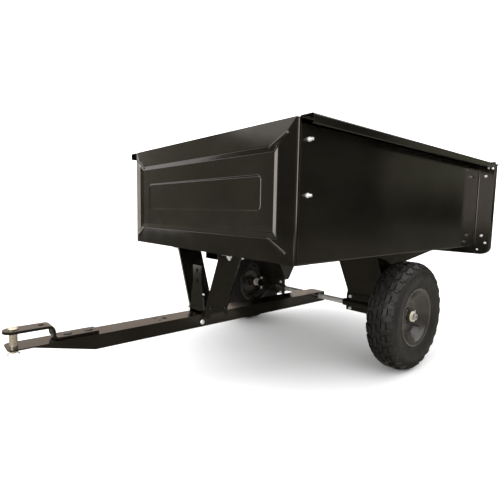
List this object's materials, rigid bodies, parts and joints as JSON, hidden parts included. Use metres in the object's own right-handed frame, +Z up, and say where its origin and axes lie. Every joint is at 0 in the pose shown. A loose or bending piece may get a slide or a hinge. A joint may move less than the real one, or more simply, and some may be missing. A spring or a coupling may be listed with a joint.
{
  "type": "tow-behind dump cart",
  "caption": "Steel tow-behind yard cart whose bed tips about its axle, with a channel tongue, pin hitch, spring latch and lift-out tailgate.",
  "frame": {"origin": "on the ground under the middle of the cart's outline", "axes": "+Y towards the tailgate, with the hitch at -Y; +Z up; +X across the cart"},
  "size_m": [0.874, 1.486, 0.664],
  "materials": {
    "black_paint": "gloss black powder coat",
    "bare_steel": "bare drawn steel",
    "zinc": "bright zinc plate",
    "yellow_zinc": "yellow zinc plate",
    "tyre_rubber": "moulded tyre rubber",
    "black_rubber": "soft black rubber",
    "cream_nylon": "moulded cream nylon"
  },
  "bodies": {
    "tongue": {"tongue": "black_paint", "hitch_strap": "black_paint", "strap_bolt_front": "black_paint", "strap_bolt_rear": "black_paint", "latch_pivot_bolt": "zinc"},
    "bed": {"bed_floor": "black_paint", "front_panel": "black_paint", "tail_frame": "black_paint", "bed_channel": "black_paint", "catch_bolt": "zinc", "stop_bolt": "zinc", "stop_sleeve": "black_rubber", "axle": "bare_steel", "side_panel_left": "black_paint", "latch_leg_left": "black_paint", "axle_bracket_left": "black_paint", "axle_clamp_left": "black_paint", "axle_spacer_left": "bare_steel", "axle_washer_left": "zinc", "cotter_pin_left": "zinc", "front_bolt_left_low": "zinc", "front_bolt_left_high": "zinc", "tail_bolt_left_low": "zinc", "tail_bolt_left_high": "zinc", "clamp_bolt_left_inner_low": "zinc", "clamp_bolt_left_inner_high": "zinc", "clamp_bolt_left_outer_low": "zinc", "clamp_bolt_left_outer_high": "zinc", "side_panel_right": "black_paint", "latch_leg_right": "black_paint", "axle_bracket_right": "black_paint", "axle_clamp_right": "black_paint", "axle_spacer_right": "bare_steel", "axle_washer_right": "zinc", "cotter_pin_right": "zinc", "front_bolt_right_low": "zinc", "front_bolt_right_high": "zinc", "tail_bolt_right_low": "zinc", "tail_bolt_right_high": "zinc", "clamp_bolt_right_inner_low": "zinc", "clamp_bolt_right_inner_high": "zinc", "clamp_bolt_right_outer_low": "zinc", "clamp_bolt_right_outer_high": "zinc"},
    "latch": {"latch_lever": "black_paint", "latch_spring": "zinc"},
    "tailgate": {"tailgate": "black_paint"},
    "hitch_pin": {"hitch_pin": "yellow_zinc"},
    "hairpin": {"hairpin_clip": "yellow_zinc"},
    "wheel_left": {"tyre_left": "tyre_rubber", "rim_left": "black_paint", "bush_outer_left": "cream_nylon", "bush_inner_left": "cream_nylon", "valve_stem_left": "black_rubber"},
    "wheel_right": {"tyre_right": "tyre_rubber", "rim_right": "black_paint", "bush_outer_right": "cream_nylon", "bush_inner_right": "cream_nylon", "valve_stem_right": "black_rubber"}
  },
  "joints": [
    {"name": "dump", "type": "hinge", "parent": "tongue", "child": "bed", "pos_m": [0, 0.252, 0.164], "axis": [-1, 0, 0], "range_deg": [0, 35]},
    {"name": "wheel_left_spin", "type": "hinge", "parent": "bed", "child": "wheel_left", "pos_m": [-0.361, 0.252, 0.164], "axis": [1, 0, 0], "continuous": true},
    {"name": "wheel_right_spin", "type": "hinge", "parent": "bed", "child": "wheel_right", "pos_m": [0.361, 0.252, 0.164], "axis": [1, 0, 0], "continuous": true},
    {"name": "latch_tilt", "type": "hinge", "parent": "tongue", "child": "latch", "pos_m": [0, -0.269, 0.157], "axis": [1, 0, 0], "range_deg": [0, 18], "stiffness_Nm_per_rad": 2, "springref_deg": -20.05, "deforming": ["latch_spring"]},
    {"name": "tailgate_lift", "type": "slide", "parent": "bed", "child": "tailgate", "axis": [0, 0, 1], "range_m": [0, 0.3]},
    {"name": "hitch_pin_lift", "type": "slide", "parent": "tongue", "child": "hitch_pin", "axis": [0, 0, 1], "range_m": [0, 0.0035]},
    {"name": "hairpin_pull", "type": "slide", "parent": "hitch_pin", "child": "hairpin", "axis": [1, 0, 0], "range_m": [0, 0.035]}
  ]
}
